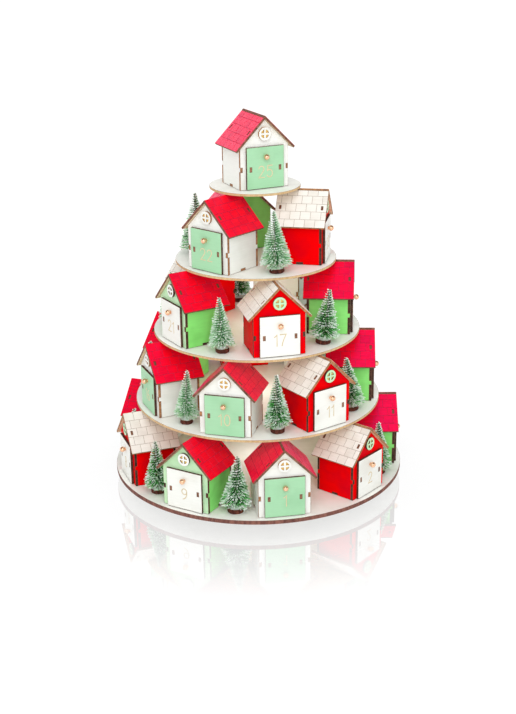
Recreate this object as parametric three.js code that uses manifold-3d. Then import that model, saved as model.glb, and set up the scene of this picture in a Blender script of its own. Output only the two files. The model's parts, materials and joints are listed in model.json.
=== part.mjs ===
// Advent calendar built like a tiered tree: five round plywood decks carry twenty-five gabled
// houses, each with one drawer, and bottle-brush trees stand between the houses.
// Millimetres, +Z up. The origin is on the calendar's axis, on the surface that it stands on.
// Each house is drawn with its front towards -Y and is then turned to face outwards.

import * as THREE from "three";
import { mergeVertices } from "three/addons/utils/BufferGeometryUtils.js";
import Module from "manifold-3d";

const wasm = await Module();
wasm.setup();

// Sheet and seats
const PLY = 2.5;
const BASE_PLY = 4.5;
const SEAT_GAP = 0.3;

// How far glued pieces of one solid run into each other
const JOIN_LAP = 1;

// Riser that lifts the bottom deck, set back out of sight
const RISER_RADIUS = 115;
const RISER_HEIGHT = 11.8;

// Tiers from the bottom: deck radius, number of houses, direction that the first house faces in
// degrees, the gaps between houses that hold no tree, counted from the first house, and whether
// the trees are of the tall kind
const TIERS = [
  { radius: 160, houses: 9, facing: -80, bareGaps: [0], tallTrees: false },
  { radius: 134.5, houses: 7, facing: -105.5, bareGaps: [], tallTrees: false },
  { radius: 112, houses: 5, facing: -77, bareGaps: [], tallTrees: false },
  { radius: 86, houses: 3, facing: -131, bareGaps: [], tallTrees: true },
  { radius: 48, houses: 1, facing: -65, bareGaps: [0], tallTrees: false },
];
const CORNER_MARGIN = 6.3;

// House shell
const HOUSE_WIDTH = 54.5;
const HOUSE_DEPTH = 46.5;
const HOUSE_HEIGHT = 75.1;
const ROOF_PITCH = THREE.MathUtils.degToRad(45);
const EAVE_REACH = 6.4;
const GABLE_REACH = 3.6;

// Round window with its frame and cross, on the front gable
const WINDOW_HEIGHT = 56.4;
const WINDOW_FRAME_RADIUS = 6.8;
const WINDOW_RADIUS = 4.5;
const WINDOW_BAR = 2;
const WINDOW_FRAME_STEPS = 16;
const WINDOW_ARC_STEPS = 2;

// Drawer
const DRAWER_FRONT_WIDTH = 42.2;
const DRAWER_FRONT_HEIGHT = 43.2;
const DRAWER_FRONT_LIFT = 0.4;
const DRAWER_LAP = 2.8;
const DRAWER_SIDE_CLEARANCE = 0.5;
const DRAWER_HEADROOM = 1.5;
const DRAWER_BACK_CLEARANCE = 1;

// Ball knob
const KNOB_RADIUS = 3;
const KNOB_NECK_RADIUS = 1.5;
const KNOB_STANDOFF = 3.2;
const KNOB_HEIGHT = 33.3;
const KNOB_STEPS = 8;
const KNOB_RINGS = 4;

// Bottle-brush tree on its round wooden slice
const TREE_INSET = 20.5;
const SLICE_RADIUS = 8.4;
const SLICE_HEIGHT = 4.8;
const TREE_HEIGHT = 59;
const TALL_TREE_HEIGHT = 67;
const BRUSH_START = 9.5;
const BRUSH_RADIUS = 15.5;
const TALL_BRUSH_RADIUS = 17;
const BRUSH_TIP_RADIUS = 2.5;
const WIRE_RADIUS = 1.5;
const STRANDS_PER_TREE = 20;
const STRAND_RADIUS = 0.9;
const STRAND_LIFT = THREE.MathUtils.degToRad(14);
const GOLDEN_TURN = Math.PI * (3 - Math.sqrt(5));

// Facets round a disc
const DECK_STEPS = 72;
const SLICE_STEPS = 12;
const WIRE_STEPS = 6;

// Sizes that follow from the ones above
const rise = Math.tan(ROOF_PITCH);
const roofDrop = PLY / Math.cos(ROOF_PITCH);
const halfWidth = HOUSE_WIDTH / 2;
const halfDepth = HOUSE_DEPTH / 2;
const frontFace = -halfDepth;
const bottomDeckTop = RISER_HEIGHT + SEAT_GAP + BASE_PLY;
const tierPitch = SEAT_GAP + HOUSE_HEIGHT + SEAT_GAP + PLY;
const mouthHalfWidth = DRAWER_FRONT_WIDTH / 2 - DRAWER_LAP;
const mouthTop = DRAWER_FRONT_LIFT + DRAWER_FRONT_HEIGHT - DRAWER_LAP;

// Colours seen in the photograph
const paint = {
  white: new THREE.MeshStandardMaterial({ color: 0xf1ece2, roughness: 0.75, metalness: 0 }),
  red: new THREE.MeshStandardMaterial({ color: 0xd01420, roughness: 0.6, metalness: 0 }),
  green: new THREE.MeshStandardMaterial({ color: 0x8fcf96, roughness: 0.65, metalness: 0 }),
  deck: new THREE.MeshStandardMaterial({ color: 0xe8e0d0, roughness: 0.7, metalness: 0 }),
};

// The houses repeat in threes: white, red and green walls, with a green drawer in the white ones
const HOUSE_PAINT = [paint.white, paint.red, paint.green];
const DRAWER_PAINT = [paint.green, paint.white, paint.white];

// A closed three.js geometry as a solid that can be cut and joined
function solid(geometry) {
  const bare = geometry.clone();
  bare.deleteAttribute("normal");
  bare.deleteAttribute("uv");
  const merged = mergeVertices(bare, 1e-4);
  return new wasm.Manifold(new wasm.Mesh({
    numProp: 3,
    vertProperties: new Float32Array(merged.attributes.position.array),
    triVerts: new Uint32Array(merged.index.array),
  }));
}

// A solid back as a three.js geometry
function geometryOf(manifold) {
  const mesh = manifold.getMesh();
  const geometry = new THREE.BufferGeometry();
  geometry.setAttribute("position", new THREE.BufferAttribute(mesh.vertProperties, 3));
  geometry.setIndex(new THREE.BufferAttribute(mesh.triVerts, 1));
  geometry.computeVertexNormals();
  return geometry;
}

function block(x0, x1, y0, y1, z0, z1) {
  const geometry = new THREE.BoxGeometry(x1 - x0, y1 - y0, z1 - z0);
  geometry.translate((x0 + x1) / 2, (y0 + y1) / 2, (z0 + z1) / 2);
  return solid(geometry);
}

// An upright outline in x and z, solid from y0 back to y1
function upright(outline, y0, y1) {
  const geometry = new THREE.ExtrudeGeometry(outline, { depth: y1 - y0, bevelEnabled: false });
  geometry.rotateX(Math.PI / 2);
  geometry.translate(0, y1, 0);
  return solid(geometry);
}

// A flat round disc about the z axis
function disc(radius, z0, z1, steps) {
  const geometry = new THREE.CylinderGeometry(radius, radius, z1 - z0, steps);
  geometry.rotateX(Math.PI / 2);
  geometry.translate(0, 0, (z0 + z1) / 2);
  return geometry;
}

function outlineOf(points) {
  return new THREE.Shape(points.map(([x, z]) => new THREE.Vector2(x, z)));
}

// The walls' outline from the floor up to the middle of the roof panels
function gableOutline() {
  const underRoof = HOUSE_HEIGHT - roofDrop / 2;
  const eaveWall = underRoof - halfWidth * rise;
  return outlineOf([
    [-halfWidth, 0],
    [halfWidth, 0],
    [halfWidth, eaveWall],
    [0, underRoof],
    [-halfWidth, eaveWall],
  ]);
}

// Two roof panels that meet at the ridge
function roof() {
  const eave = halfWidth + EAVE_REACH;
  const eaveHeight = HOUSE_HEIGHT - eave * rise;
  const inset = PLY * Math.sin(ROOF_PITCH);
  const drop = PLY * Math.cos(ROOF_PITCH);
  const outline = outlineOf([
    [0, HOUSE_HEIGHT],
    [-eave, eaveHeight],
    [inset - eave, eaveHeight - drop],
    [0, HOUSE_HEIGHT - roofDrop],
    [eave - inset, eaveHeight - drop],
    [eave, eaveHeight],
  ]);
  return upright(outline, frontFace - GABLE_REACH, halfDepth + GABLE_REACH);
}

// One quarter pane of the round window as a cutter, turned by whole quarters
function windowPane(quarter) {
  const half = WINDOW_BAR / 2;
  const start = Math.asin(half / WINDOW_RADIUS);
  const sweep = Math.PI / 2 - 2 * start;
  const points = [new THREE.Vector2(half, half)];
  for (let step = 0; step <= WINDOW_ARC_STEPS; step += 1) {
    const angle = start + (sweep * step) / WINDOW_ARC_STEPS;
    points.push(new THREE.Vector2(WINDOW_RADIUS * Math.cos(angle), WINDOW_RADIUS * Math.sin(angle)));
  }
  const origin = new THREE.Vector2();
  points.forEach((point) => point.rotateAround(origin, (quarter * Math.PI) / 2));
  const outline = outlineOf(points.map((point) => [point.x, WINDOW_HEIGHT + point.y]));
  return upright(outline, frontFace - 2 * PLY, frontFace);
}

// The raised frame with its cross
function windowFrame() {
  const points = [];
  for (let step = 0; step < WINDOW_FRAME_STEPS; step += 1) {
    const angle = (2 * Math.PI * step) / WINDOW_FRAME_STEPS;
    const x = WINDOW_FRAME_RADIUS * Math.cos(angle);
    points.push([x, WINDOW_HEIGHT + WINDOW_FRAME_RADIUS * Math.sin(angle)]);
  }
  let frame = upright(outlineOf(points), frontFace - PLY, frontFace + JOIN_LAP);
  for (let quarter = 0; quarter < 4; quarter += 1) {
    frame = frame.subtract(windowPane(quarter));
  }
  return frame;
}

function houseGeometry() {
  const innerHalf = halfWidth - PLY;
  const roofTop = HOUSE_HEIGHT + PLY;
  const room = block(-innerHalf, innerHalf, frontFace + PLY, halfDepth - PLY, PLY, roofTop);
  const mouth = block(
    -mouthHalfWidth, mouthHalfWidth, frontFace - PLY, frontFace + 2 * PLY, PLY, mouthTop);
  const walls = upright(gableOutline(), frontFace, halfDepth).subtract(room).subtract(mouth);
  return geometryOf(walls.add(roof()).add(windowFrame()));
}

// Knob profile turned about its own axis, from the neck's end in the drawer front to the ball's top
function knob() {
  const neckAngle = Math.asin(KNOB_NECK_RADIUS / KNOB_RADIUS);
  const points = [
    new THREE.Vector2(0, -KNOB_STANDOFF - JOIN_LAP),
    new THREE.Vector2(KNOB_NECK_RADIUS, -KNOB_STANDOFF - JOIN_LAP),
  ];
  for (let ring = 0; ring < KNOB_RINGS; ring += 1) {
    const angle = neckAngle + ((Math.PI - neckAngle) * ring) / KNOB_RINGS;
    points.push(new THREE.Vector2(KNOB_RADIUS * Math.sin(angle), -KNOB_RADIUS * Math.cos(angle)));
  }
  points.push(new THREE.Vector2(0, KNOB_RADIUS));
  const geometry = new THREE.LatheGeometry(points, KNOB_STEPS);
  geometry.rotateX(Math.PI);
  return geometry;
}

function drawerGeometry() {
  const backFace = frontFace - SEAT_GAP;
  const outerFace = backFace - PLY;
  const frontHalf = DRAWER_FRONT_WIDTH / 2;
  const front = block(-frontHalf, frontHalf, outerFace, backFace,
    DRAWER_FRONT_LIFT, DRAWER_FRONT_LIFT + DRAWER_FRONT_HEIGHT);
  const boxHalf = mouthHalfWidth - DRAWER_SIDE_CLEARANCE;
  const boxRear = halfDepth - PLY - DRAWER_BACK_CLEARANCE;
  const boxFloor = PLY + SEAT_GAP;
  const boxTop = mouthTop - DRAWER_HEADROOM;
  const box = block(-boxHalf, boxHalf, backFace - JOIN_LAP, boxRear, boxFloor, boxTop);
  const hollow = block(
    -boxHalf + PLY, boxHalf - PLY, backFace, boxRear - PLY, boxFloor + PLY, boxTop + PLY);
  const handle = knob();
  handle.translate(0, outerFace - KNOB_STANDOFF, KNOB_HEIGHT);
  return geometryOf(box.subtract(hollow).add(front).add(solid(handle)));
}

// One bristle from the wire out to the brush's cone
function strand(index, height, radius) {
  const share = (index + 0.5) / STRANDS_PER_TREE;
  const length = THREE.MathUtils.lerp(radius, BRUSH_TIP_RADIUS, share) / Math.cos(STRAND_LIFT);
  const reach = height - BRUSH_START;
  const geometry = new THREE.ConeGeometry(STRAND_RADIUS, length, 3, 1);
  geometry.translate(0, length / 2, 0);
  geometry.rotateX(Math.PI / 2);
  geometry.rotateY(Math.PI / 2 - STRAND_LIFT);
  geometry.rotateZ(index * GOLDEN_TURN);
  geometry.translate(0, 0, BRUSH_START + reach * share);
  return solid(geometry);
}

// A whole tree on the z axis, with the deck's top at z = 0
function treeGeometry(height, radius) {
  const slice = solid(disc(SLICE_RADIUS, -JOIN_LAP, SLICE_HEIGHT, SLICE_STEPS));
  const wire = solid(disc(WIRE_RADIUS, SLICE_HEIGHT - JOIN_LAP, height, WIRE_STEPS));
  let tree = slice.add(wire);
  for (let index = 0; index < STRANDS_PER_TREE; index += 1) {
    tree = tree.add(strand(index, height, radius));
  }
  return geometryOf(tree);
}

const treeShape = treeGeometry(TREE_HEIGHT, BRUSH_RADIUS);
const tallTreeShape = treeGeometry(TALL_TREE_HEIGHT, TALL_BRUSH_RADIUS);
const houseShape = houseGeometry();
const drawerShape = drawerGeometry();

// A deck with the trees that are glued on it, its top at z = 0
function deckGeometry(tier, thickness) {
  let deck = solid(disc(tier.radius, -thickness, 0, DECK_STEPS));
  const step = 360 / tier.houses;
  for (let gap = 0; gap < tier.houses; gap += 1) {
    if (!tier.bareGaps.includes(gap)) {
      const direction = THREE.MathUtils.degToRad(tier.facing + (gap + 0.5) * step);
      const tree = (tier.tallTrees ? tallTreeShape : treeShape).clone();
      tree.rotateZ(direction);
      const reach = tier.radius - TREE_INSET;
      tree.translate(reach * Math.cos(direction), reach * Math.sin(direction), 0);
      deck = deck.add(solid(tree));
    }
  }
  return geometryOf(deck);
}

// How far a house's centre stands from the axis: its front corners keep the margin to the rim,
// and a house that is alone on its deck stands in the middle
function houseDistance(tier) {
  if (tier.houses === 1) {
    return 0;
  }
  const corner = tier.radius - CORNER_MARGIN;
  return Math.sqrt(corner * corner - halfWidth * halfWidth) - halfDepth;
}

function named(name, geometry, material) {
  const mesh = new THREE.Mesh(geometry, material);
  mesh.name = name;
  return mesh;
}

// A house with its drawer, turned to face outwards from its place on the deck
function houseGroup(tier, place, number) {
  const label = String(number).padStart(2, "0");
  const direction = THREE.MathUtils.degToRad(tier.facing + (place * 360) / tier.houses);
  const distance = houseDistance(tier);
  const group = new THREE.Group();
  group.add(named(`house_${label}`, houseShape, HOUSE_PAINT[(number - 1) % 3]));
  group.add(named(`drawer_${label}`, drawerShape, DRAWER_PAINT[(number - 1) % 3]));
  group.position.set(distance * Math.cos(direction), distance * Math.sin(direction), SEAT_GAP);
  group.rotation.z = direction + Math.PI / 2;
  return group;
}

const calendar = new THREE.Group();
calendar.add(named("base_riser", geometryOf(solid(disc(RISER_RADIUS, 0, RISER_HEIGHT, DECK_STEPS))),
  paint.deck));

let number = 1;
TIERS.forEach((tier, level) => {
  const thickness = level === 0 ? BASE_PLY : PLY;
  const floor = new THREE.Group();
  floor.position.z = bottomDeckTop + level * tierPitch;
  floor.add(named(`deck_${level + 1}`, deckGeometry(tier, thickness), paint.deck));
  for (let place = 0; place < tier.houses; place += 1) {
    floor.add(houseGroup(tier, place, number));
    number += 1;
  }
  calendar.add(floor);
});

export default calendar;
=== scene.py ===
import json
import math

import bpy
import numpy as np
from mathutils import Matrix, Vector
from mathutils.geometry import tessellate_polygon


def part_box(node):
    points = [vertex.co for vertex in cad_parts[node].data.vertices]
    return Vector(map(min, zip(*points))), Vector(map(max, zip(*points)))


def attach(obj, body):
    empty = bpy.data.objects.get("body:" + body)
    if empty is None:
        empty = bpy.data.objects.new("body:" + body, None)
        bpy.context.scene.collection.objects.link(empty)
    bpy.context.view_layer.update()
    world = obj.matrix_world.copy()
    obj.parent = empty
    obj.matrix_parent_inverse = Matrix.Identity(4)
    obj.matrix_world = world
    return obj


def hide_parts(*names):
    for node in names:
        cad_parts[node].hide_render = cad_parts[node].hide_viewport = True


# Advent calendar: five round plywood decks with twenty-five gabled houses, each with one drawer,
# and bottle-brush trees between the houses. Shapes are written in millimetres.
# A house is drawn with its front towards -Y, on its own deck, and is turned to its place afterwards.

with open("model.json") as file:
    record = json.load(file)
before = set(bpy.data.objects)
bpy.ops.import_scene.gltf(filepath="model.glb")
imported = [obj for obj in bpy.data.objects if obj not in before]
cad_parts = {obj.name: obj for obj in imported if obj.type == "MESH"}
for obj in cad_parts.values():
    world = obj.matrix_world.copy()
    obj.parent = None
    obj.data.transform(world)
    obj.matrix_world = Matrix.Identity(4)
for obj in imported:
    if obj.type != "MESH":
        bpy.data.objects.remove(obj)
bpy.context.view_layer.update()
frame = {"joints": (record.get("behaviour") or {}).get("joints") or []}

MM = 0.001

# Sheet
PLY = 2.5
SHEET_SPREAD = 400
SCORCH_WIDTH = 0.22
SCORCH_DEPTH = 0.12
JOINT_GAP = 0.12
TAB_LENGTH = 5.0
TAB_SINK = 0.25
GLUE_SINK = 0.1
ROOF_TAB_SINK = 1.1
TAB_HEIGHT = 21.0

# House shell
HOUSE_WIDTH = 54.5
HOUSE_DEPTH = 46.5
HOUSE_HEIGHT = 75.1
ROOF_PITCH = math.radians(45)
EAVE_REACH = 6.4
GABLE_REACH = 3.6
FLOOR_TAB_LENGTH = 7.0

# Tile pattern engraved in the roofs
TILE_ROWS = 5
TILES_PER_ROW = 5
GROOVE_WIDTH = 0.34
GROOVE_DEPTH = 0.22
TILE_CHAMFER = 0.06

# Round window
WINDOW_HEIGHT = 56.4
WINDOW_FRAME_RADIUS = 6.8
WINDOW_RADIUS = 4.5
WINDOW_BAR = 2.0
WINDOW_STEPS = 40
PANE_STEPS = 8
PANE_FRONT = 1.3
WINDOW_CHAMFER = (0.2, 0.1)

# Drawer
DRAWER_FRONT_WIDTH = 42.2
DRAWER_FRONT_HEIGHT = 43.2
DRAWER_FRONT_LIFT = 0.4
DRAWER_LAP = 2.8
DRAWER_SIDE_CLEARANCE = 0.5
DRAWER_HEADROOM = 1.5
DRAWER_BACK_CLEARANCE = 1.0
SEAT_GAP = 0.3

# Ball knob
KNOB_RADIUS = 3.0
KNOB_NECK_RADIUS = 1.2
KNOB_COLLAR_RADIUS = 1.9
KNOB_COLLAR_HEIGHT = 0.5
KNOB_COLLAR_CHAMFER = 0.3
KNOB_NECK_FILLET = 0.2
KNOB_STANDOFF = 3.2
KNOB_HEIGHT = 33.3
KNOB_STEPS = 28
KNOB_RINGS = 14

# Number on the drawer front
NUMBER_HEIGHT = 12.4
NUMBER_CENTRE = 17.8
NUMBER_STROKE = 1.1
NUMBER_RELIEF = 0.14
NUMBER_SINK = 0.05
NUMBER_TAPER = 0.75
NUMBER_SPACE = 0.24
DIGIT_WIDTH = 0.52
NARROW_DIGIT_WIDTH = 0.24
DIGIT_STEPS = 14

# Decks
DECK_STEPS = 180
RISER_STEPS = 144
TREE_INSET = 20.5
HOUSES_PER_TIER = [9, 7, 5, 3, 1]
TIERS_WITH_A_BARE_GAP = [0, 4]

# Bottle-brush tree on its round wooden slice
SLICE_RADIUS = 8.2
SLICE_HEIGHT = 4.7
SLICE_STEPS = 40
SLICE_RIMS = [(0.96, 0), (1.0, 0.6), (1.0, SLICE_HEIGHT - 0.8), (0.95, SLICE_HEIGHT)]
BARK_ROUGHNESS = 0.012
DRIFT_SHARE = 0.74
DRIFT_RIMS = [(1.0, -0.2), (0.95, 0.35), (0.6, 0.8), (0.25, 1.2)]
TREE_HEIGHT = 59.0
TALL_TREE_HEIGHT = 67.0
TIER_OF_TALL_TREES = 3
BRUSH_START = 8.4
BRUSH_RADIUS = 16.0
TALL_BRUSH_RADIUS = 17.4
BRUSH_TIP_RADIUS = 0.9
BRUSH_TOP_GAP = 2.0
WIRE_RADIUS = 0.55
WIRE_SIDES = 5
WIRE_STEPS = 70
TWIST_PITCH = 4.8
TREE_SHAPES = 4
TALL_TREE_SHAPES = 2
STRANDS = 1100
STRAND_RINGS = [(0.0, 0.15), (0.68, 0.26), (0.93, 0.38)]
STRAND_START = 0.3
STRAND_SAG = 0.035
LENGTH_SCATTER = 0.06
TURN_SCATTER = 0.07
LIFT_SCATTER = 1.6
LEAN_SCATTER = 1.5
SNOW_TIERS = 4.5
SNOW_FLOCKS = 260
FLOCK_SIZES = (0.4, 0.9)
FLOCK_STRETCH = [1.5, 1, 1]

# Trees that differ, each named by the house before it: width and height beside their neighbours',
# and leans in degrees to the camera's right
TREE_SIZES = {8: (0.95, 1), 9: (1.02, 1.06), 10: (0.93, 1.06), 16: (0.84, 1), 21: (0.88, 1),
              22: (0.97, 0.97)}
PALE_TREES = {16, 21, 22}
TREE_LEANS = {8: -2.2, 9: 2.7, 10: -0.9, 11: -5.7, 16: 2.0, 17: 6.8, 21: -2.3, 22: -2.7}

# House finishes repeat in threes, from number 1 on
HOUSE_FINISHES = [
    {"slot": "house_white", "gable": "paint_white", "side": "paint_white", "edge": "edge_amber",
     "roof": "roof_red", "line": "line_red", "roof_edge": "edge_roof", "window": "paint_white"},
    {"slot": "house_red", "gable": "paint_red", "side": "paint_red", "edge": "edge_dark",
     "roof": "roof_white", "line": "line_white", "roof_edge": "edge_amber",
     "window": "paint_pale_green"},
    {"slot": "house_green", "gable": "paint_pale_green", "side": "paint_green", "edge": "edge_dark",
     "roof": "roof_red", "line": "line_red", "roof_edge": "edge_roof", "window": "paint_white"},
]
MINT_DRAWER = {"slot": "drawer_green", "front": "paint_mint", "digits": "gilt_pale"}
WHITE_DRAWER = {"slot": "drawer_white", "front": "paint_white", "digits": "gilt"}
DRAWER_FINISHES = [MINT_DRAWER, WHITE_DRAWER, WHITE_DRAWER]

# Sizes that follow from the ones above
half_width = HOUSE_WIDTH / 2
half_depth = HOUSE_DEPTH / 2
rise = math.tan(ROOF_PITCH)
under_ridge = HOUSE_HEIGHT - PLY / math.cos(ROOF_PITCH)
eave_reach = half_width + EAVE_REACH
eave_height = HOUSE_HEIGHT - eave_reach * rise
slope_length = eave_reach / math.cos(ROOF_PITCH)
roof_half = half_depth + GABLE_REACH
mouth_half = DRAWER_FRONT_WIDTH / 2 - DRAWER_LAP
mouth_top = DRAWER_FRONT_LIFT + DRAWER_FRONT_HEIGHT - DRAWER_LAP
tab_low = TAB_HEIGHT - TAB_LENGTH / 2
tab_high = TAB_HEIGHT + TAB_LENGTH / 2
half_slot = FLOOR_TAB_LENGTH / 2
floor_slot = [(-half_slot, 0), (-half_slot, PLY), (half_slot, PLY), (half_slot, 0)]

# Camera: it looks down at the calendar from a step away, as in the photograph. Its height is
# counted from the bottom deck's top
CAMERA_DISTANCE = 1.3102
CAMERA_HEIGHT = 0.605
CAMERA_PITCH = 0.3554
CAMERA_YAW = 0.0007
CAMERA_ROLL = -0.0122
CAMERA_REACH = 50.0
FOCAL_PIXELS = 1265.1
IMAGE_HEIGHT = 714
SENSOR = 36.0

# Floor: grey and glow for the light that it throws back on the object, and grey for the shadow
# that the camera sees on plain white. The mirror image fades from near to far, in metres
FLOOR_SIZE = 30
FLOOR_GREY = 0.8
FLOOR_GLOW = 0.15
SHADOW_GREY = 0.1
MIRROR_NEAR = 0.15
MIRROR_FAR = 0.35
MIRROR_SHARE = 0.37

# World: its light, and how glossy surfaces see it dim overhead, by the height of the direction
WORLD_LIGHT = 0.84
CEILING_START = 0.43
CEILING_END = 0.62
CEILING_LIGHT = 0.06

# Lamps: place and width in metres, and power in watts. One more stands inside each ring of houses
LAMPS = {
    "key": ((0.0, -1.5, 1.8), 1.6, 17),
    "front": ((0.0, -2.1, 0.9), 1.2, 4.5),
    "rim": ((-1.3, 1.8, 0.9), 1.2, 2.5),
}
LAMP_AIM = Vector((0, 0, 0.2))
INNER_POWERS = [0.055, 0.06, 0.04, 0.004]
INNER_RADIUS = 0.02


def link(made):
    bpy.context.scene.collection.objects.link(made)
    return made


def deck_top(number):
    """Height of the deck under a house."""
    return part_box(f"house_{number:02d}")[0].z - SEAT_GAP * MM


def make_camera():
    data = bpy.data.cameras.new("camera")
    data.sensor_width = SENSOR
    data.lens = SENSOR * FOCAL_PIXELS / IMAGE_HEIGHT
    data.clip_end = CAMERA_REACH
    camera = link(bpy.data.objects.new("camera", data))
    stand = Matrix.Translation((0, -CAMERA_DISTANCE, deck_top(1) + CAMERA_HEIGHT))
    yaw = Matrix.Rotation(-CAMERA_YAW, 4, "Z")
    tilt = Matrix.Rotation(math.pi / 2 - CAMERA_PITCH, 4, "X")
    roll = Matrix.Rotation(CAMERA_ROLL, 4, "Z")
    camera.matrix_world = stand @ yaw @ tilt @ roll
    bpy.context.scene.camera = camera


# Materials
def colour(code):
    """Six hexadecimal digits, or a grey level, as the linear values that Blender takes."""
    if not isinstance(code, str):
        return (code, code, code, 1.0)
    parts = [int(code[place:place + 2], 16) / 255 for place in (0, 2, 4)]
    linear = [part / 12.92 if part <= 0.04045 else ((part + 0.055) / 1.055) ** 2.4 for part in parts]
    return (*linear, 1.0)


class Nodes:
    """A node tree, filled one node at a time. A kind is a node type's name after ShaderNode."""

    def __init__(self, owner):
        owner.use_nodes = True
        self.tree = owner.node_tree

    def feed(self, socket, value):
        if isinstance(value, bpy.types.NodeSocket):
            self.tree.links.new(value, socket)
        else:
            socket.default_value = value

    def node(self, kind, inputs=None, **settings):
        made = self.tree.nodes.new("ShaderNode" + kind)
        for name, value in settings.items():
            setattr(made, name, value)
        for name, value in (inputs or {}).items():
            self.feed(made.inputs[name], value)
        return made

    def result(self, operation, *values):
        made = self.node("Math", dict(enumerate(values)), operation=operation)
        return made.outputs[0]

    def span(self, factor, low, high, start=0.0, end=1.0, **settings):
        """A factor from start to end taken to the range from low to high."""
        made = self.node("MapRange", {
            "Value": factor, "From Min": start, "From Max": end, "To Min": low, "To Max": high},
            **settings)
        return made.outputs["Result"]


class Finish(Nodes):
    """A node material around one Principled shader."""

    def __init__(self, name, roughness=0.5, metallic=0.0, specular=0.5):
        self.material = bpy.data.materials.new(name)
        super().__init__(self.material)
        self.shader = self.tree.nodes["Principled BSDF"]
        self.set("Roughness", roughness)
        self.set("Metallic", metallic)
        self.set("Specular IOR Level", specular)

    def set(self, name, value):
        self.feed(self.shader.inputs[name], value)

    def place(self, stretch=(1, 1, 1)):
        """Sheet coordinates in metres, moved by a different amount on each object."""
        sheet = self.node("Attribute", attribute_name="sheet").outputs["Vector"]
        own = self.node("ObjectInfo").outputs["Random"]
        moved = self.node("VectorMath", {0: sheet, 1: own}, operation="ADD").outputs[0]
        return self.node("VectorMath", {0: moved, 1: stretch}, operation="MULTIPLY").outputs[0]

    def noise(self, scale, detail=4.0, roughness=0.55, stretch=(1, 1, 1)):
        made = self.node("TexNoise", {
            "Vector": self.place(stretch), "Scale": scale, "Detail": detail, "Roughness": roughness})
        return made.outputs["Fac"]

    def ramp(self, factor, stops):
        made = self.node("ValToRGB", {"Fac": factor})
        while len(made.color_ramp.elements) < len(stops):
            made.color_ramp.elements.new(0.5)
        for element, (position, code) in zip(made.color_ramp.elements, stops):
            element.position = position
            element.color = colour(code)
        return made.outputs["Color"]

    def mix(self, factor, first, second, blend="MIX"):
        made = self.node("Mix", data_type="RGBA", blend_type=blend)
        self.feed(made.inputs[0], factor)
        self.feed(made.inputs[6], first)
        self.feed(made.inputs[7], second)
        return made.outputs[2]

    def bump(self, height, depth, strength):
        made = self.node("Bump", {"Height": height, "Distance": depth * MM, "Strength": strength})
        self.set("Normal", made.outputs["Normal"])


def paint(name, code, drift, roughness=0.42, grain=0.05, specular=0.4, tint="ffffff", sheen=0.0,
          ripple=0.06):
    """Thin brushed paint on birch ply: it drifts to a second colour in broad clouds, and the grain
    shows through a little."""
    finish = Finish(name, roughness, specular=specular)
    finish.set("Specular Tint", colour(tint))
    finish.set("Sheen Weight", sheen)
    finish.set("Sheen Roughness", 0.5)
    finish.set("Sheen Tint", colour(tint))
    cloud = finish.noise(32, detail=2)
    streak = finish.noise(900, detail=5, roughness=0.65, stretch=(0.06, 1, 1))
    clouded = finish.ramp(cloud, [(0.5, code), (0.72, drift)])
    shaded = finish.ramp(streak, [(0.3, 1 - grain), (0.62, 1.0)])
    finish.set("Base Color", finish.mix(1.0, clouded, shaded, "MULTIPLY"))
    finish.set("Roughness", finish.span(cloud, roughness - 0.07, roughness + 0.09))
    finish.bump(streak, ripple, 0.5)
    return finish.material


def bare_ply(name, light, dark):
    """Birch veneer with its long grain."""
    finish = Finish(name, 0.62, specular=0.35)
    figure = finish.noise(150, detail=5, roughness=0.6, stretch=(0.1, 1, 1))
    pores = finish.noise(1800, detail=3, roughness=0.7, stretch=(0.05, 1, 1))
    wood = finish.ramp(figure, [(0.28, dark), (0.5, light), (0.72, dark)])
    flecks = finish.ramp(pores, [(0.35, 0.82), (0.55, 1.0)])
    finish.set("Base Color", finish.mix(1.0, wood, flecks, "MULTIPLY"))
    finish.bump(pores, 0.08, 0.6)
    return finish.material


def cut_edge(name, core, glue, char, burn=1.0):
    """A laser-cut edge: veneers laid crosswise, browned unevenly by the beam."""
    finish = Finish(name, 0.7, specular=0.25)
    sheet = finish.node("Attribute", attribute_name="sheet").outputs["Vector"]
    depth = finish.node("SeparateXYZ", {"Vector": sheet}).outputs["Z"]
    turns = finish.result("MULTIPLY", depth, 2 * math.pi / (PLY / 2 * MM))
    veneer = finish.span(finish.result("COSINE", turns), 0.0, 1.0, start=-1.0)
    layers = finish.ramp(veneer, [(0.25, core), (0.8, glue)])
    beam = finish.noise(300, detail=4, roughness=0.6, stretch=(1, 1, 0.2))
    burnt = finish.ramp(beam, [(0.38, 0.0), (0.68, burn)])
    finish.set("Base Color", finish.mix(burnt, layers, colour(char)))
    finish.bump(beam, 0.1, 0.7)
    return finish.material


def engraved(name, code, deep):
    """Wood scored by the laser, browner where the beam stayed longer."""
    finish = Finish(name, 0.75, specular=0.2)
    spots = finish.noise(600, detail=3)
    finish.set("Base Color", finish.ramp(spots, [(0.3, deep), (0.65, code)]))
    finish.bump(spots, 0.05, 0.5)
    return finish.material


def metal(name, code, worn, roughness, metallic=1.0):
    """Soft metal with fine polishing marks, or metallic ink."""
    finish = Finish(name, roughness, metallic=metallic)
    marks = finish.noise(1400)
    finish.set("Base Color", finish.ramp(marks, [(0.3, worn), (0.6, code)]))
    finish.set("Roughness", finish.span(marks, roughness - 0.06, roughness + 0.1))
    finish.bump(marks, 0.03, 0.4)
    return finish.material


def bristles(name, dark, light, roughness):
    """Dyed sisal, each strand in its own tone with painted shade towards its root, kept in the mesh."""
    finish = Finish(name, roughness, specular=0.3)
    shade = finish.node("Attribute", attribute_name="shade").outputs["Fac"]
    # Strands run from painted shade at their roots to their full colour at the tips
    tone = finish.ramp(shade, [(0.15, dark), (1.0, light)])
    spots = finish.noise(900, detail=2)
    flecks = finish.ramp(spots, [(0.3, 0.8), (0.6, 1.0)])
    finish.set("Base Color", finish.mix(1.0, tone, flecks, "MULTIPLY"))
    finish.bump(spots, 0.06, 0.5)
    return finish.material


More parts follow.
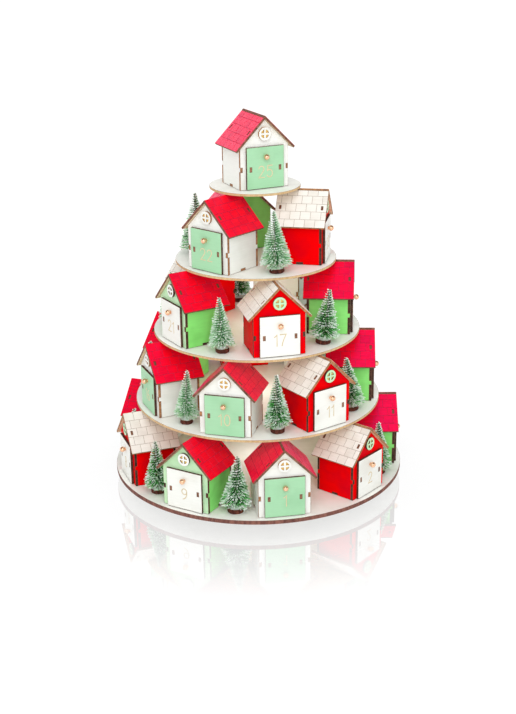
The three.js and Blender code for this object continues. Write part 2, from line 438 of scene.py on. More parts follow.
def snow(name):
    """Frost flock in soft grains."""
    finish = Finish(name, 0.8, specular=0.3)
    grains = finish.noise(1600, roughness=0.75)
    finish.set("Base Color", finish.ramp(grains, [(0.25, "d3e0dc"), (0.6, "f8fbf9")]))
    finish.bump(grains, 0.2, 0.8)
    return finish.material


def bark(name):
    finish = Finish(name, 0.85, specular=0.2)
    plates = finish.noise(420, detail=6, roughness=0.7, stretch=(1, 1, 0.35))
    finish.set("Base Color", finish.ramp(plates, [
        (0.3, "24110f"), (0.5, "562b22"), (0.7, "84503e")]))
    finish.bump(plates, 0.6, 0.9)
    return finish.material


def growth_rings(name):
    """The top of a sawn slice, with frost in its pores."""
    finish = Finish(name, 0.7, specular=0.25)
    bands = finish.node("TexWave", {
        "Vector": finish.place(), "Scale": 260.0, "Distortion": 1.5, "Detail": 2.0},
        wave_type="RINGS", rings_direction="Z").outputs["Fac"]
    wood = finish.ramp(bands, [(0.2, "b98e62"), (0.7, "e6cda4")])
    drift = finish.noise(260, detail=3)
    frost = finish.ramp(drift, [(0.36, 0.0), (0.5, 1.0)])
    finish.set("Base Color", finish.mix(frost, wood, colour("eef3f0")))
    finish.bump(drift, 0.3, 0.7)
    return finish.material


def make_materials():
    """Every finish by its name."""
    made = [
        paint("paint_white", "f1f2ec", "e7e7df"),
        paint("paint_red", "f20206", "d80418", roughness=0.36, specular=0.02, tint="ff60b0"),
        paint("paint_green", "8ee878", "76cc5f"),
        paint("paint_pale_green", "c6eabd", "b2dcae"),
        paint("paint_mint", "a4d6ab", "99cca0"),
        paint("paint_deck", "f3f3ed", "e9e9e1", roughness=0.5),
        paint("roof_red", "fc0206", "e40210", 0.32, 0.22, specular=0.65, tint="ff58ff", sheen=0.13,
              ripple=0.2),
        paint("roof_white", "f2eee6", "e4ded4", roughness=0.5, grain=0.08),
        engraved("line_red", "c83058", "8c1c3c"),
        engraved("line_white", "b0a08f", "8a7563"),
        engraved("scorch", "8a5a44", "54342a"),
        engraved("pane", "ffdc7c", "e6b458"),
        bare_ply("ply", "f0dcb8", "dfc190"),
        cut_edge("edge_pale", "e2c69a", "cba878", "a37e54", burn=0.5),
        cut_edge("edge_amber", "cf9a68", "94603e", "62392a", burn=0.8),
        cut_edge("edge_brown", "b08668", "8c5a44", "623c30"),
        cut_edge("edge_roof", "a0705a", "6a4232", "46281e", burn=0.8),
        cut_edge("edge_base", "a07460", "6e3436", "4e2a2a", burn=0.8),
        cut_edge("edge_dark", "6d4638", "3c221c", "24120f"),
        metal("brass", "fbd2b0", "e6ab80", 0.24),
        metal("gilt", "dccba4", "c9b48a", 0.4, metallic=0.3),
        metal("gilt_pale", "e6d4ae", "d4be92", 0.4, metallic=0.3),
        metal("wire", "b9c2b4", "6f7d6c", 0.4),
        bristles("strand", "0a4a20", "78e674", 0.6),
        bristles("strand_pale", "4ca45c", "d8fcd0", 0.6),
        bristles("frosted", "bcecc0", "ffffff", 0.75),
        snow("snow"),
        bark("bark"),
        growth_rings("rings"),
    ]
    return {material.name: material for material in made}


# Meshes
class Piece:
    """Points and faces in millimetres, with a finish for each face, that become one mesh.
    Each point also has sheet coordinates: along the grain, across it and through the sheet."""

    def __init__(self, seed):
        self.points = []
        self.sheet = []
        self.faces = []
        self.finishes = []
        self.used = []
        self.shade = []
        self.draw = np.random.default_rng(seed)

    def add(self, points, groups, sheet=None, shade=None):
        """Points, then pairs of a finish and the faces that it covers."""
        start = len(self.points)
        self.points += [tuple(point) for point in points]
        self.sheet += [tuple(point) for point in (points if sheet is None else sheet)]
        self.shade += list(np.ones(len(points)) if shade is None else shade)
        for finish, faces in groups:
            if finish not in self.used:
                self.used.append(finish)
            self.faces += [[start + corner for corner in face] for face in faces]
            self.finishes += [self.used.index(finish)] * len(faces)

    def mesh(self, name, materials):
        made = bpy.data.meshes.new(name)
        made.from_pydata((np.array(self.points, float) * MM).tolist(), [], self.faces)
        for finish in self.used:
            made.materials.append(materials[finish])
        made.polygons.foreach_set("material_index", self.finishes)
        sheet = made.attributes.new("sheet", "FLOAT_VECTOR", "POINT")
        sheet.data.foreach_set("vector", (np.array(self.sheet, float) * MM).ravel())
        shade = made.attributes.new("shade", "FLOAT", "POINT")
        shade.data.foreach_set("value", np.array(self.shade, float))
        made.update()
        return made


def plane(origin, along, up=(0, 0, 1)):
    """Takes sheet coordinates (along, up, outwards) to the piece's own axes."""
    along = Vector(along).normalized()
    up = Vector(up).normalized()
    turn = Matrix((along, up, along.cross(up))).transposed().to_4x4()
    return Matrix.Translation(origin) @ turn


def rectangle(x0, x1, y0, y1):
    return [(x0, y0), (x1, y0), (x1, y1), (x0, y1)]


def tab_slots(middle, low, high):
    """Two slots as wide as the sheet is thick, one on either side."""
    return [rectangle(side * middle - PLY / 2, side * middle + PLY / 2, low, high) for side in (-1, 1)]


def circle(radius, steps):
    turns = [2 * math.pi * step / steps for step in range(steps)]
    return [(radius * math.cos(turn), radius * math.sin(turn)) for turn in turns]


def grown(loop, by):
    """A closed outline with its right-hand side moved out by the same distance all round."""
    moved = []
    for index, here in enumerate(loop):
        here = Vector(here)
        arriving = (here - Vector(loop[index - 1])).normalized()
        leaving = (Vector(loop[(index + 1) % len(loop)]) - here).normalized()
        first = Vector((arriving.y, -arriving.x))
        second = Vector((leaving.y, -leaving.x))
        moved.append(here + by * (first + second) / (1 + first.dot(second)))
    return moved


def filled(loops):
    """Triangles that fill the first loop and leave the others open, facing up."""
    points = [Vector((x, y, 0)) for loop in loops for x, y in loop]
    split = [[Vector((x, y, 0)) for x, y in loop] for loop in loops]
    triangles = []
    for one, two, three in tessellate_polygon(split):
        upwards = (points[two] - points[one]).cross(points[three] - points[one]).z > 0
        triangles.append((one, two, three) if upwards else (one, three, two))
    return triangles


def ring_faces(rows, steps, first=0):
    """Four-sided faces between each ring of points and the next."""
    faces = []
    for low in range(first, first + rows * steps, steps):
        for step in range(steps):
            following = (step + 1) % steps
            faces.append((low + step, low + following, low + following + steps, low + step + steps))
    return faces


def tube_faces(rows, steps):
    """Rings of points joined into a tube, with a flat cap on each end."""
    last = rows * steps
    caps = [tuple(reversed(range(steps))), tuple(range(last, last + steps))]
    return ring_faces(rows, steps) + caps


def end_faces(steps, last):
    """Triangles from point 0 to the first ring, and from the last ring to the last point."""
    pairs = [(step, (step + 1) % steps) for step in range(steps)]
    bottom = [(0, 1 + following, 1 + step) for step, following in pairs]
    top = [(last - steps + step, last - steps + following, last) for step, following in pairs]
    return bottom, top


def add_plate(piece, place, outline, thickness, front, back, edge, holes=(), rim="scorch",
              chamfer=(SCORCH_WIDTH, SCORCH_DEPTH)):
    """A panel cut from sheet, from depth 0 out to its thickness. The outline and each hole run
    anticlockwise, and a narrow chamfer, scorched unless told otherwise, runs along every cut."""
    inset, drop = chamfer
    loops = [list(outline)] + [list(reversed(hole)) for hole in holes]
    around = sum(len(loop) for loop in loops)
    shrunk = [grown(loop, -inset) for loop in loops]
    levels = [(shrunk, 0), (loops, drop), (loops, thickness - drop), (shrunk, thickness)]
    points = [Vector((*point, depth)) for level, depth in levels for loop in level for point in loop]
    triangles = filled(shrunk)
    bands = []
    for level in range(3):
        first = level * around
        quads = []
        for loop in loops:
            for index in range(len(loop)):
                low, following = first + index, first + (index + 1) % len(loop)
                quads.append((low, following, following + around, low + around))
            first += len(loop)
        bands.append(quads)
    top = 3 * around
    shift = Vector((*piece.draw.uniform(0, SHEET_SPREAD, 2), 0))
    piece.add([place @ point for point in points], [
        (front, [(top + one, top + two, top + three) for one, two, three in triangles]),
        (back, [(three, two, one) for one, two, three in triangles]),
        (rim, bands[0] + bands[2]),
        (edge, bands[1]),
    ], [point + shift for point in points])


def add_block(piece, place, outline, low, high, finish):
    """A small block between two depths, such as a tab's end in its slot."""
    points = [Vector((x, y, depth)) for depth in (low, high) for x, y in outline]
    shift = Vector((*piece.draw.uniform(0, SHEET_SPREAD, 2), 0))
    piece.add([place @ point for point in points], [(finish, tube_faces(1, len(outline)))],
              [point + shift for point in points])


def add_lathe(piece, place, profile, steps, finish):
    """A closed round body from (radius, height) points, which start and end on its axis."""
    points = [Vector((0, 0, profile[0][1]))]
    for radius, height in profile[1:-1]:
        points += [Vector((x, y, height)) for x, y in circle(radius, steps)]
    points.append(Vector((0, 0, profile[-1][1])))
    bottom, top = end_faces(steps, len(points) - 1)
    faces = bottom + ring_faces(len(profile) - 3, steps, 1) + top
    piece.add([place @ point for point in points], [(finish, faces)], points)


# House
def gable_outline(slot=()):
    """Front or back wall, with notches for the side walls' tabs."""
    notch = half_width - PLY
    apex = under_ridge - JOINT_GAP
    wall = apex - half_width * rise
    return [
        (-half_width, 0), *slot, (half_width, 0),
        (half_width, tab_low), (notch, tab_low), (notch, tab_high), (half_width, tab_high),
        (half_width, wall), (0, apex), (-half_width, wall),
        (-half_width, tab_high), (-notch, tab_high), (-notch, tab_low), (-half_width, tab_low),
    ]


def side_outline():
    """Side wall between the gables, with a tab at each end and the floor's slot at its foot."""
    end = half_depth - PLY - JOINT_GAP
    tip = half_depth - TAB_SINK
    low, high = tab_low + JOINT_GAP, tab_high - JOINT_GAP
    top = under_ridge - JOINT_GAP - half_width * rise
    return [
        (-end, 0), *floor_slot, (end, 0),
        (end, low), (tip, low), (tip, high), (end, high), (end, top),
        (-end, top), (-end, high), (-tip, high), (-tip, low), (-end, low),
    ]


def floor_outline():
    """House floor, with a tab in each side wall and one in the back wall."""
    side = half_width - PLY - JOINT_GAP
    end = half_depth - PLY - JOINT_GAP
    tab = half_slot - JOINT_GAP
    side_tip = half_width - TAB_SINK
    back_tip = half_depth - TAB_SINK
    return [
        (-side, -end), (side, -end), (side, -tab), (side_tip, -tab), (side_tip, tab), (side, tab),
        (side, end), (tab, end), (tab, back_tip), (-tab, back_tip), (-tab, end), (-side, end),
        (-side, tab), (-side_tip, tab), (-side_tip, -tab), (-side, -tab),
    ]


def pane_outline(quarter):
    """One quarter pane of the round window."""
    half = WINDOW_BAR / 2
    start = math.asin(half / WINDOW_RADIUS)
    turns = np.linspace(start, math.pi / 2 - start, PANE_STEPS)
    points = [(half, half)]
    points += [(WINDOW_RADIUS * math.cos(turn), WINDOW_RADIUS * math.sin(turn)) for turn in turns]
    turned = []
    for x, y in points:
        for _ in range(quarter):
            x, y = -y, x
        turned.append((x, y))
    return turned


def add_roof_panel(piece, place, length, look):
    """A roof panel from its eave up to its given length, with engraved tiles and two tab slots."""
    row_height = slope_length / TILE_ROWS
    tile_length = 2 * roof_half / TILES_PER_ROW
    slot_middle = slope_length / 2
    slot_low, slot_high = slot_middle - TAB_LENGTH / 2, slot_middle + TAB_LENGTH / 2
    slots = tab_slots(half_depth - PLY / 2, slot_low, slot_high)
    add_plate(piece, place, rectangle(-roof_half, roof_half, 0, length), PLY - GROOVE_DEPTH,
              look["line"], "ply", look["roof_edge"], slots)
    for slot in slots:
        tab = grown(slot, -JOINT_GAP)
        add_block(piece, place, tab, PLY / 4, PLY - ROOF_TAB_SINK, "edge_brown")
    half_groove = GROOVE_WIDTH / 2
    for row in range(TILE_ROWS):
        low = max(row * row_height + half_groove, SCORCH_WIDTH)
        high = min((row + 1) * row_height - half_groove, length - SCORCH_WIDTH)
        offset = (row % 2) / 2
        for place_in_row in range(TILES_PER_ROW + row % 2):
            start = -roof_half + (place_in_row - offset) * tile_length
            left = max(start + half_groove, SCORCH_WIDTH - roof_half)
            right = min(start + tile_length - half_groove, roof_half - SCORCH_WIDTH)
            inside = [slot for slot in slots if left < slot[0][0] and slot[1][0] < right
                      and low < slot_low and slot_high < high]
            add_plate(piece, place @ Matrix.Translation((0, 0, PLY - GROOVE_DEPTH)),
                      rectangle(left, right, low, high), GROOVE_DEPTH, look["roof"], look["line"],
                      look["line"], inside, look["roof"], (TILE_CHAMFER, TILE_CHAMFER))


def house_mesh(look, seed, materials):
    piece = Piece(seed)
    edge = look["edge"]
    inner_depth = half_depth - PLY
    mouth = rectangle(-mouth_half, mouth_half, PLY, mouth_top)
    front = plane((0, -inner_depth, 0), (1, 0, 0))
    add_plate(piece, front, gable_outline(), PLY, look["gable"], "ply", edge, [mouth])
    rear = plane((0, inner_depth, 0), (-1, 0, 0))
    add_plate(piece, rear, gable_outline(floor_slot), PLY, look["side"], "ply", edge)
    for side in (-1, 1):
        wall_plane = plane((side * (half_width - PLY), 0, 0), (0, side, 0))
        add_plate(piece, wall_plane, side_outline(), PLY, look["side"], "ply", edge)
        slope = (-side * math.cos(ROOF_PITCH), 0, math.sin(ROOF_PITCH))
        outwards = Vector((side * math.sin(ROOF_PITCH), 0, math.cos(ROOF_PITCH)))
        eave = Vector((side * eave_reach, 0, eave_height)) - PLY * outwards
        length = slope_length if side > 0 else slope_length - PLY - JOINT_GAP
        add_roof_panel(piece, plane(eave, (0, side, 0), slope), length, look)
    add_plate(piece, plane((0, 0, 0), (1, 0, 0), (0, 1, 0)), floor_outline(), PLY, "ply", "ply", edge)
    window = plane((0, -half_depth, WINDOW_HEIGHT), (1, 0, 0))
    add_block(piece, window, circle(WINDOW_RADIUS + WINDOW_BAR / 2, WINDOW_STEPS),
              -GLUE_SINK, PANE_FRONT, "pane")
    panes = [pane_outline(quarter) for quarter in range(4)]
    add_plate(piece, window, circle(WINDOW_FRAME_RADIUS, WINDOW_STEPS), PLY, look["window"], "ply",
              edge, panes, look["window"], WINDOW_CHAMFER)
    return piece.mesh(look["slot"], materials)


# Drawer
def add_knob(piece, place):
    """A turned knob: collar, neck and ball. Depth 0 is the drawer's front face."""
    neck_angle = math.asin(KNOB_NECK_RADIUS / KNOB_RADIUS)
    centre = KNOB_STANDOFF
    profile = [
        (0, -GLUE_SINK),
        (KNOB_COLLAR_RADIUS, -GLUE_SINK),
        (KNOB_COLLAR_RADIUS, KNOB_COLLAR_HEIGHT - KNOB_COLLAR_CHAMFER / 2),
        (KNOB_COLLAR_RADIUS - KNOB_COLLAR_CHAMFER, KNOB_COLLAR_HEIGHT),
        (KNOB_NECK_RADIUS, KNOB_COLLAR_HEIGHT + KNOB_NECK_FILLET),
    ]
    for angle in np.linspace(neck_angle, math.pi, KNOB_RINGS)[:-1]:
        profile.append((KNOB_RADIUS * math.sin(angle), centre - KNOB_RADIUS * math.cos(angle)))
    profile.append((0, centre + KNOB_RADIUS))
    add_lathe(piece, place, profile, KNOB_STEPS, "brass")


def drawer_mesh(look, seed, materials):
    piece = Piece(seed)
    front_back = -half_depth - SEAT_GAP
    outer = front_back - PLY
    box_half = mouth_half - DRAWER_SIDE_CLEARANCE
    box_rear = half_depth - PLY - DRAWER_BACK_CLEARANCE
    box_floor = PLY + SEAT_GAP
    box_top = mouth_top - DRAWER_HEADROOM
    slots = tab_slots(box_half - PLY / 2, tab_low, tab_high)
    front_outline = rectangle(-DRAWER_FRONT_WIDTH / 2, DRAWER_FRONT_WIDTH / 2,
                              DRAWER_FRONT_LIFT, DRAWER_FRONT_LIFT + DRAWER_FRONT_HEIGHT)
    front = plane((0, front_back, 0), (1, 0, 0))
    add_plate(piece, front, front_outline, PLY, look["front"], "ply", "edge_dark", slots)
    tab_tip = outer + TAB_SINK
    side_start = front_back + JOINT_GAP
    low, high = tab_low + JOINT_GAP, tab_high - JOINT_GAP
    for side in (-1, 1):
        side_plane = plane((side * (box_half - PLY), 0, 0), (0, side, 0))
        outline = [
            (side_start, box_floor), (box_rear, box_floor), (box_rear, box_top),
            (side_start, box_top), (side_start, high), (tab_tip, high), (tab_tip, low),
            (side_start, low),
        ]
        if side < 0:
            outline = [(-y, z) for y, z in reversed(outline)]
        add_plate(piece, side_plane, outline, PLY, "ply", "ply", "edge_brown")
    inner = box_half - PLY - JOINT_GAP
    rear = plane((0, box_rear - PLY, 0), (-1, 0, 0))
    add_plate(piece, rear, rectangle(-inner, inner, box_floor, box_top), PLY,
              "ply", "ply", "edge_brown")
    base = plane((0, 0, box_floor), (1, 0, 0), (0, 1, 0))
    add_plate(piece, base, rectangle(-inner, inner, side_start, box_rear - PLY - JOINT_GAP), PLY,
              "ply", "ply", "edge_brown")
    add_knob(piece, plane((0, outer, KNOB_HEIGHT), (1, 0, 0)))
    return piece.mesh(look["slot"], materials)


# Numbers: strokes of each digit, in shares of the number's height
def arc(x, y, across, up, start, end):
    """Part of an oval between two angles, in degrees. A full turn has twice the steps."""
    steps = DIGIT_STEPS * (1 + abs(end - start) // 360)
    turns = np.radians(np.linspace(start, end, steps))
    return [(x + across * math.cos(turn), y + up * math.sin(turn)) for turn in turns]


DIGITS = {
    "0": [arc(0.26, 0.5, 0.24, 0.48, 90, 450)],
    "1": [[(0.02, 0.78), (0.14, 0.86), (0.23, 0.98), (0.23, 0.02)]],
    "2": [arc(0.26, 0.73, 0.24, 0.25, 165, -30) + [(0.3, 0.36), (0.02, 0.02), (0.52, 0.02)]],
    "3": [arc(0.24, 0.75, 0.22, 0.23, 155, -90) + arc(0.24, 0.27, 0.26, 0.25, 90, -155)],
    "4": [[(0.4, 0.02), (0.4, 0.98), (0.02, 0.3), (0.54, 0.3)]],
    "5": [[(0.48, 0.98), (0.1, 0.98), (0.06, 0.56)] + arc(0.25, 0.33, 0.26, 0.31, 130, -150)],
    "6": [arc(0.46, 0.38, 0.44, 0.6, 100, 180) + arc(0.26, 0.28, 0.24, 0.26, 180, 540)],
    "7": [[(0.02, 0.98), (0.52, 0.98), (0.36, 0.62), (0.24, 0.3), (0.18, 0.02)]],
    "8": [arc(0.26, 0.75, 0.2, 0.23, 90, 450), arc(0.26, 0.27, 0.25, 0.25, 90, 450)],
    "9": [arc(0.06, 0.62, 0.44, 0.6, -80, 0) + arc(0.26, 0.72, 0.24, 0.26, 0, 360)],
}


def add_stroke(piece, place, line, finish):
    """A flat raised stroke with tapered sides along a line."""
    half = NUMBER_STROKE / 2
    top = half * NUMBER_TAPER
    section = [(-half, -NUMBER_SINK), (-top, NUMBER_RELIEF), (top, NUMBER_RELIEF), (half, -NUMBER_SINK)]
    line = [Vector(point) for point in line]
    points = []
    for index, here in enumerate(line):
        arriving = here - line[max(index - 1, 0)]
        leaving = line[min(index + 1, len(line) - 1)] - here
        heading = (arriving.normalized() + leaving.normalized()).normalized()
        turning = max(heading.dot((leaving if index == 0 else arriving).normalized()), 0.5)
        across = Vector((-heading.y, heading.x)) / turning
        push = heading * half * ((index == len(line) - 1) - (index == 0))
        points += [Vector((*(here + push - across * reach), height)) for reach, height in section]
    faces = []
    for index in range(len(line) - 1):
        low = 4 * index
        for corner in range(4):
            following = (corner + 1) % 4
            faces.append((low + corner, low + 4 + corner, low + 4 + following, low + following))
    last = 4 * (len(line) - 1)
    faces.append((0, 1, 2, 3))
    faces.append((last + 3, last + 2, last + 1, last))
    piece.add([place @ point for point in points], [(finish, faces)], points)


def number_mesh(number, finish, materials):
    piece = Piece(number)
    text = str(number)
    widths = [NARROW_DIGIT_WIDTH if digit == "1" else DIGIT_WIDTH for digit in text]
    total = sum(widths) + NUMBER_SPACE * (len(text) - 1)
    outer = -half_depth - SEAT_GAP - PLY
    place = plane((0, outer, NUMBER_CENTRE - NUMBER_HEIGHT / 2), (1, 0, 0))
    start = -total / 2
    for digit, width in zip(text, widths):
        for stroke in DIGITS[digit]:
            line = [((start + x) * NUMBER_HEIGHT, y * NUMBER_HEIGHT) for x, y in stroke]
            add_stroke(piece, place, line, finish)
        start += width + NUMBER_SPACE
    return piece.mesh(f"number_{number:02d}", materials)


# Trees
def add_slice(piece):
    """A sawn slice with its bark on, wavy round its rim, under a patch of snow."""
    turns = np.linspace(0, 2 * math.pi, SLICE_STEPS, endpoint=False)
    phases = piece.draw.uniform(0, 2 * math.pi, 3)
    # Two low waves keep the rim from being a perfect circle
    wave = 1 + 0.03 * np.cos(2 * turns + phases[0]) + 0.02 * np.cos(5 * turns + phases[1])
    rough = piece.draw.normal(0, BARK_ROUGHNESS, (len(SLICE_RIMS), SLICE_STEPS))
    points = [(0, 0, 0)]
    for (share, height), row in zip(SLICE_RIMS, rough):
        radius = SLICE_RADIUS * share * (wave + row)
        points += list(zip(radius * np.cos(turns), radius * np.sin(turns), np.full(SLICE_STEPS, height)))
    points.append((0, 0, SLICE_HEIGHT))
    bottom, lid = end_faces(SLICE_STEPS, len(points) - 1)
    sides = bottom + ring_faces(len(SLICE_RIMS) - 1, SLICE_STEPS, 1)
    piece.add(points, [("bark", sides), ("rings", lid)])
    ragged = 0.1 * np.cos(3 * turns + phases[2]) + piece.draw.normal(0, 0.03, SLICE_STEPS)
    drift = SLICE_RADIUS * (DRIFT_SHARE + ragged)
    points = []
    for share, height in DRIFT_RIMS:
        lump = height + piece.draw.normal(0, 0.08, SLICE_STEPS)
        reach = drift * share
        points += list(zip(reach * np.cos(turns), reach * np.sin(turns), SLICE_HEIGHT + lump))
    piece.add(points, [("snow", tube_faces(len(DRIFT_RIMS) - 1, SLICE_STEPS))])


def add_wires(piece, tree_height):
    """Two wires twisted round each other up the middle of the brush."""
    heights = np.linspace(SLICE_HEIGHT - 1, tree_height - 1, WIRE_STEPS)
    section = circle(WIRE_RADIUS, WIRE_SIDES)
    for start in (0, math.pi):
        points = []
        for height in heights:
            turn = start + 2 * math.pi * height / TWIST_PITCH
            x, y = WIRE_RADIUS * math.cos(turn), WIRE_RADIUS * math.sin(turn)
            points += [(x + dx, y + dy, height) for dx, dy in section]
        piece.add(points, [("wire", tube_faces(WIRE_STEPS - 1, WIRE_SIDES))])


def unit(vectors):
    return vectors / np.linalg.norm(vectors, axis=1, keepdims=True)


def add_brush(piece, tree_height, radius, finish):
    """Strands that leave the twisted wire in two spirals, trimmed to a cone. Snow has caught on
    their ends, most of all at the tip and in ragged tiers down the brush."""
    draw = piece.draw
    index = np.arange(STRANDS)
    # Strands crowd the wide foot of the brush and thin out towards its tip
    share = 1 - np.sqrt(1 - (index + draw.uniform(0, 1, STRANDS)) / STRANDS * 0.94)
    height = BRUSH_START + (tree_height - BRUSH_START - BRUSH_TOP_GAP) * share / share.max()
    share = (height - BRUSH_START) / (tree_height - BRUSH_START)
    turn = 2 * math.pi * height / TWIST_PITCH + math.pi * (index % 2)
    turn += draw.normal(0, TURN_SCATTER, STRANDS)
    # They droop at the foot, rise further up and stand nearly upright at the tip
    lift = np.radians(-2 + 16 * share + 50 * share ** 10 + draw.normal(0, LIFT_SCATTER, STRANDS))
    length = radius + (BRUSH_TIP_RADIUS - radius) * share
    length *= draw.normal(1, LENGTH_SCATTER, STRANDS) / np.cos(lift)
    heading = np.stack([np.cos(turn) * np.cos(lift), np.sin(turn) * np.cos(lift), np.sin(lift)], 1)
    across = unit(np.cross(heading, [0, 0, 1]))
    over = np.cross(across, heading)
    root = np.stack([np.zeros(STRANDS), np.zeros(STRANDS), height], 1) + STRAND_START * heading
    spin = draw.uniform(0, 2 * math.pi, STRANDS)
    tone = draw.uniform(0, 1, STRANDS)
    drift = 0.5 + 0.5 * np.sin(2 * math.pi * SNOW_TIERS * share + 1.2 * np.sin(turn) + np.sin(2 * turn))
    frosted = draw.uniform(0, 1, STRANDS) < 0.4 + 0.45 * drift + 0.5 * share ** 3
    rings = len(STRAND_RINGS)
    points = np.zeros((STRANDS, 3 * rings + 1, 3))
    shade = np.zeros((STRANDS, 3 * rings + 1))
    for ring, (reach, thick) in enumerate(STRAND_RINGS):
        sag = 4 * STRAND_SAG * reach * (1 - reach)
        centre = root + heading * (reach * length)[:, None] + over * (sag * length)[:, None]
        for corner in range(3):
            angle = spin + corner * 2 * math.pi / 3
            offset = across * np.cos(angle)[:, None] + over * np.sin(angle)[:, None]
            points[:, 3 * ring + corner] = centre + offset * thick
        # Painted shade: each strand is darker towards its root, deep inside the brush, on top of its own
        # tone
        shade[:, 3 * ring:3 * ring + 3] = (reach * (0.25 + 0.75 * tone))[:, None]
    points[:, -1] = root + heading * length[:, None]
    shade[:, -1] = 1
    green, white = [], []
    for strand in range(STRANDS):
        first = (3 * rings + 1) * strand
        ends = white if frosted[strand] else green
        green.append((first + 2, first + 1, first))
        for corner in range(3):
            following = (corner + 1) % 3
            for ring in range(rings - 1):
                low, high = first + 3 * ring, first + 3 * ring + 3
                side = green if ring == 0 else ends
                side.append((low + corner, low + following, high + following, high + corner))
            last = first + 3 * rings - 3
            ends.append((last + corner, last + following, first + 3 * rings))
    piece.add(points.reshape(-1, 3), [(finish, green), ("frosted", white)], shade=shade.ravel())
    add_flocks(piece, root, heading, over, length, drift)


def add_flocks(piece, root, heading, over, length, drift):
    """Snow caught on the outer ends of some strands."""
    draw = piece.draw
    chosen = draw.choice(STRANDS, SNOW_FLOCKS, replace=False, p=(0.1 + drift) / np.sum(0.1 + drift))
    reach = length[chosen] * draw.uniform(0.7, 1.0, SNOW_FLOCKS)
    centre = root[chosen] + heading[chosen] * reach[:, None]
    along = heading[chosen]
    up = over[chosen]
    beside = np.cross(along, up)
    size = draw.uniform(*FLOCK_SIZES, (SNOW_FLOCKS, 3)) * FLOCK_STRETCH
    points = np.zeros((SNOW_FLOCKS, 6, 3))
    for axis, direction in enumerate([along, beside, up]):
        points[:, 2 * axis] = centre + direction * size[:, axis, None]
        points[:, 2 * axis + 1] = centre - direction * size[:, axis, None]
    octants = [(0, 2, 4), (2, 1, 4), (1, 3, 4), (3, 0, 4), (2, 0, 5), (1, 2, 5), (3, 1, 5), (0, 3, 5)]
    faces = [tuple(6 * flock + corner for corner in face)
             for flock in range(SNOW_FLOCKS) for face in octants]
    piece.add(points.reshape(-1, 3), [("snow", faces)])


def tree_mesh(seed, tree_height, radius, materials, finish="strand"):
    piece = Piece(seed)
    add_slice(piece)
    add_wires(piece, tree_height)
    add_brush(piece, tree_height, radius, finish)
    return piece.mesh(f"tree_shape_{seed}", materials)


# Places, worked out from the frame
def facing(number):
    """The way that a house faces, from its drawer's slide."""
    name = f"drawer_{number:02d}_slide"
    axis = next(joint["axis"] for joint in frame["joints"] if joint["name"] == name)
    return math.atan2(axis[1], axis[0])


def house_place(number):
    low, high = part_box(f"house_{number:02d}")
    stand = ((low.x + high.x) / 2, (low.y + high.y) / 2, low.z)
    return Matrix.Translation(stand) @ Matrix.Rotation(facing(number) + math.pi / 2, 4, "Z")


def put(name, mesh, place, body, node):
    made = link(bpy.data.objects.new(name, mesh))
    made.matrix_world = place
    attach(made, body)
    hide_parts(node)


def make_houses(materials):
    shells = [house_mesh(look, seed, materials) for seed, look in enumerate(HOUSE_FINISHES)]
    boxes = [drawer_mesh(look, 10 + seed, materials) for seed, look in enumerate(DRAWER_FINISHES)]
    for number in range(1, sum(HOUSES_PER_TIER) + 1):
        label = f"{number:02d}"
        kind = (number - 1) % len(HOUSE_FINISHES)
        place = house_place(number)
        body = f"drawer_{label}"
        put(f"gabled_house_{label}", shells[kind], place, "calendar", f"house_{label}")
        put(f"box_drawer_{label}", boxes[kind], place, body, body)
        digits = number_mesh(number, DRAWER_FINISHES[kind]["digits"], materials)
        put(f"number_{label}", digits, place, body, body)


def make_decks(materials):
    """The decks and the riser, each a round plate at its place in the frame."""
    first = 1
    for tier, houses in enumerate(HOUSES_PER_TIER):
        node = f"deck_{tier + 1}"
        low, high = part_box(node)
        thickness = (deck_top(first) - low.z) / MM
        edge = "edge_base" if tier == 0 else "edge_pale"
        under = "paint_deck" if tier == 0 else "ply"
        piece = Piece(20 + tier)
        rim = circle((high.x - low.x) / 2 / MM, DECK_STEPS)
        add_plate(piece, Matrix(), rim, thickness, "paint_deck", under, edge)
        put(f"round_{node}", piece.mesh(node, materials), Matrix.Translation((0, 0, low.z)),
            "calendar", node)
        first += houses
    low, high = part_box("base_riser")
    piece = Piece(30)
    rim = circle((high.x - low.x) / 2 / MM, RISER_STEPS)
    add_plate(piece, Matrix(), rim, (high.z - low.z) / MM,
              "paint_deck", "ply", "paint_deck", rim="paint_deck")
    put("riser_disc", piece.mesh("riser", materials), Matrix.Translation((0, 0, low.z)),
        "calendar", "base_riser")


